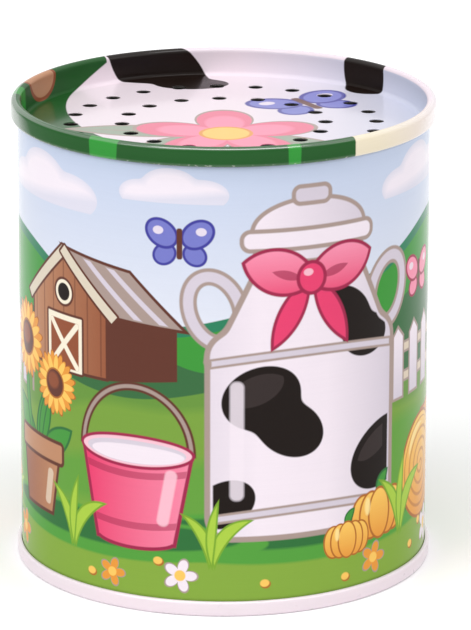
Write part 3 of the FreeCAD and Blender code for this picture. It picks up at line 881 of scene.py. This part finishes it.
def brassFinish():
    material, finish = newFinish("rolledBrass")
    place = finish.spot()
    rolled = finish.noise(place, 1.0, 3.0, (9, 9, 0.5))  # lines run along the strip
    colour = finish.mix(rolled, ink(206, 170, 104), ink(230, 200, 134))
    tarnish = ramp(finish.noise(place, 0.5, 3.0), 0.5, 0.75)
    colour = finish.mix(tarnish * 0.6, colour, ink(150, 106, 62))
    finish.close({"Base Color": colour, "Metallic": 1.0, "Roughness": rolled * 0.16 + 0.2,
                  "Normal": finish.bump(rolled, 0.2, 0.02 * mm)})
    return material


def zincFinish():
    material, finish = newFinish("zincSteel")
    place = finish.spot()
    rings = finish.add("ShaderNodeCombineXYZ", {}, {0: finish.fromAxis(place)})
    turned = finish.noise(rings, 5.0, 3.0)
    colour = finish.mix(finish.noise(place, 0.22, 2.0), ink(176, 181, 190), ink(208, 203, 184))
    finish.close({"Base Color": colour, "Metallic": 1.0, "Roughness": turned * 0.2 + 0.24,
                  "Normal": finish.bump(turned, 0.3, 0.03 * mm)})
    return material


def feltFinish():
    material, finish = newFinish("pressedFelt")
    place = finish.spot()
    matted = finish.noise(place, 1.6, 6.0)
    hairs = finish.noise(place, 4.0, 3.0, (1, 0.25, 1))
    colour = finish.mix(matted, ink(112, 112, 118), ink(172, 172, 176))
    colour = finish.mix(ramp(hairs, 0.58, 0.7) * 0.6, colour, ink(206, 204, 204))
    finish.close({"Base Color": colour, "Roughness": matted * 0.1 + 0.88, "Specular IOR Level": 0.1,
                  "Sheen Weight": 0.4, "Normal": finish.bump(matted + hairs, 0.6, 0.2 * mm)})
    return material


def bellowsFinish(cuffRadius):
    material, finish = newFinish("bellowsCloth")
    place = finish.spot()
    x, y, z = finish.axes(place)
    fromAxis = finish.fromAxis(place)
    weft = (x.maths("ARCTAN2", y) * (8 * cuffRadius / mm)).maths("SINE")
    warp = ((fromAxis + z) * 8).maths("SINE")
    weave = weft * warp * 0.5 + 0.5
    colour = finish.mix(weave, ink(72, 72, 80), ink(98, 98, 106))
    foldEdge = (cuffRadius + bellowsShape["depth"]) / mm
    folds = ramp(fromAxis, foldEdge - 0.7, foldEdge)
    rubbed = folds * ramp(finish.noise(place, 0.9, 3.0), 0.4, 0.7)
    colour = finish.mix(rubbed * 0.6, colour, ink(146, 144, 146))
    finish.close({"Base Color": colour, "Roughness": weave * 0.12 + 0.6, "Specular IOR Level": 0.3,
                  "Normal": finish.bump(weave, 0.4, 0.05 * mm)})
    return material


def makeBellows():  # plain cuffs on the two spigots, pleats between them
    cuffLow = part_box("bellows")[0].z
    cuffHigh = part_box("bellows")[1].z
    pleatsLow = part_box("weight_tray")[1].z
    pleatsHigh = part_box("reed_board")[0].z
    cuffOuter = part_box("upper_clamp_ring")[1].x - bellowsShape["ringWall"] - bellowsShape["ringGap"]
    cuffRadius = cuffOuter - bellowsShape["film"] / 2
    cloth = bellowsFinish(cuffRadius)
    for name, body, low, high in (("bellows_top_cuff", "tin", pleatsHigh, cuffHigh),
                                  ("bellows_foot_cuff", "weight", cuffLow, pleatsLow)):
        bm = spunShell(((cuffRadius, low, 0), (cuffRadius, high, 0)), bellowsShape["steps"])
        closeSeams(bm)
        cuff = makePiece(name, bm, cloth, body, "bellows_cloth", "bellows")
        thicken(cuff, bellowsShape["film"])
    pitch = (pleatsHigh - pleatsLow) / bellowsShape["pleats"]
    corners = [(cuffRadius, pleatsLow, 0)]
    half, bend = bellowsShape["foldHalf"], bellowsShape["foldBend"]
    for pleat in range(bellowsShape["pleats"]):
        ridge = pleatsLow + (pleat + 0.5) * pitch
        valley = ridge + pitch / 2
        for radius, fold in ((cuffRadius + bellowsShape["depth"], ridge), (cuffRadius, valley)):
            corners += [(radius, fold - half, bend), (radius, fold + half, bend)]
    corners[-2:] = [(cuffRadius, pleatsHigh, 0)]
    bm = spunShell(corners, bellowsShape["steps"], bellowsShape["foldCuts"])
    closeSeams(bm)
    pleats = makePiece("bellows_pleats", bm, cloth, "tin", "bellows_cloth", "bellows")
    thicken(pleats, bellowsShape["film"])
    travel = next(joint["range_m"][1] for joint in frame["joints"] if joint["name"] == "weight_drop")
    keep = 1 - travel / (pleatsHigh - pleatsLow)
    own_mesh(pleats)


def makePad():
    low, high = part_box("landing_pad")
    bend, radius = padShape["edgeBend"], high.x
    corners = [(0, low.z, 0), (radius, low.z, bend), (radius, high.z, bend)]
    corners += [(radius * share, high.z, 0) for share in padShape["topRings"]]
    bm = spunShell(corners, padShape["steps"])
    closeSeams(bm)
    for vert in bm.verts:
        if vert.co.z > high.z - bend:  # the top lies a little uneven
            wave = math.sin(padShape["waves"] * math.atan2(vert.co.y, vert.co.x))
            vert.co.z -= padShape["sink"] * (0.5 + 0.5 * wave) * vert.co.xy.length / radius
    pad = makePiece("felt_pad", bm, feltFinish(), "tin", "felt", "landing_pad")


insideFinishes = {
    "grey_card": cardFinish(),
    "moulded_black": mouldedFinish("blackMoulding", ink(54, 54, 57), ink(70, 70, 73)),
    "moulded_ivory": mouldedFinish("ivoryMoulding", ink(216, 206, 182), ink(228, 219, 198)),
    "reed_brass": brassFinish(),
    "slug_steel": zincFinish(),
}
for subpart in frame["record"]["subparts"]:
    inside = insideFinishes.get(subpart["material_slot"])
    for slot in frame["nodes"][subpart["node"]].material_slots:
        slot.material = inside or slot.material
makeBellows()
makePad()
print("works finished with", len(insideFinishes), "inside materials")

# Floor, light and camera

studio = {"floorHalf": 3.0, "floorColour": (0.9, 0.9, 0.9, 1), "floorRoughness": 0.9,
          "shadowFade": (0.08, 0.5), "nearShine": 0.12, "shineGain": 0.45,
          "fill": 0.61, "aim": (0, 0, 0.04),  # each lamp has its name, place, size and power
          "lamps": (("keyLamp", (-0.75, -0.65, 0.75), (0.7, 0.7), 4.4),
                    ("topLamp", (0.0, -0.25, 0.93), (0.9, 0.3), 3.6),
                    ("sideLamp", (0.8, -0.5, 0.55), (0.6, 0.6), 1.6))}


def backgroundRays(finish):  # what the camera, gloss and glass see is white
    ray = finish.add("ShaderNodeLightPath")
    return (ray + ray.other("Is Glossy Ray") + ray.other("Is Transmission Ray")).maths("MINIMUM", 1.0)


def makeFloor():
    bm = bmesh.new()
    bmesh.ops.create_grid(bm, x_segments=1, y_segments=1, size=studio["floorHalf"])
    mesh = bpy.data.meshes.new("floor")
    bm.to_mesh(mesh)
    bm.free()
    floor = bpy.data.objects.new("floor", mesh)
    bpy.context.scene.collection.objects.link(floor)
    material, finish = newFinish("paleFloor")
    fromObject = finish.add("ShaderNodeTexCoord", output="Object").vector("LENGTH")
    far = ramp(fromObject, *studio["shadowFade"])
    white = far * studio["shineGain"] + studio["nearShine"]  # far off, as white as the world
    shine = finish.mix(backgroundRays(finish) * white, (0, 0, 0, 1), (1, 1, 1, 1))
    finish.close({"Base Color": studio["floorColour"], "Roughness": studio["floorRoughness"],
                  "Specular IOR Level": 0.0, "Emission Color": shine, "Emission Strength": 1.0})
    mesh.materials.append(material)


def makeLight():
    for name, place, size, power in studio["lamps"]:
        lamp = bpy.data.lights.new(name, "AREA")
        lamp.shape = "RECTANGLE"
        lamp.size, lamp.size_y = size
        lamp.energy = power
        holder = bpy.data.objects.new(name, lamp)
        holder.location = place
        holder.rotation_euler = (Vector(place) - Vector(studio["aim"])).to_track_quat("Z", "Y").to_euler()
        bpy.context.scene.collection.objects.link(holder)
    world = bpy.data.worlds.new("studio")
    world.use_nodes = True
    bpy.context.scene.world = world
    sky = Finish(world.node_tree)
    level = backgroundRays(sky) * (1 - studio["fill"]) + studio["fill"]
    light = sky.add("ShaderNodeBackground", {}, {"Color": (1, 1, 1, 1), "Strength": level})
    sky.add("ShaderNodeOutputWorld", {}, {"Surface": light})


# turn, rise and roll are in degrees
view = {"distance": 745.3 * mm, "rise": 16.685, "turn": -2.695, "middle": 38.0 * mm, "aside": 1.917 * mm,
        "aimLevel": 39.468 * mm, "roll": 0.128, "lens": 263.67}


def makeCamera():
    turn, rise = math.radians(view["turn"]), math.radians(view["rise"])
    away = Vector((math.sin(turn) * math.cos(rise), -math.cos(turn) * math.cos(rise), math.sin(rise)))
    place = Vector((0, 0, view["middle"])) + away * view["distance"]
    aim = Vector((math.cos(turn) * view["aside"], math.sin(turn) * view["aside"], view["aimLevel"]))
    camera = bpy.data.cameras.new("camera")
    camera.lens = view["lens"]
    holder = bpy.data.objects.new("camera", camera)
    level = (place - aim).to_track_quat("Z", "Y").to_matrix()
    tilted = level @ Matrix.Rotation(math.radians(view["roll"]), 3, "Z")
    holder.matrix_world = Matrix.Translation(place) @ tilted.to_4x4()
    bpy.context.scene.collection.objects.link(holder)
    bpy.context.scene.camera = holder


makeFloor()
makeLight()
makeCamera()
bpy.context.scene.view_settings.view_transform = "Standard"
print("studio set")
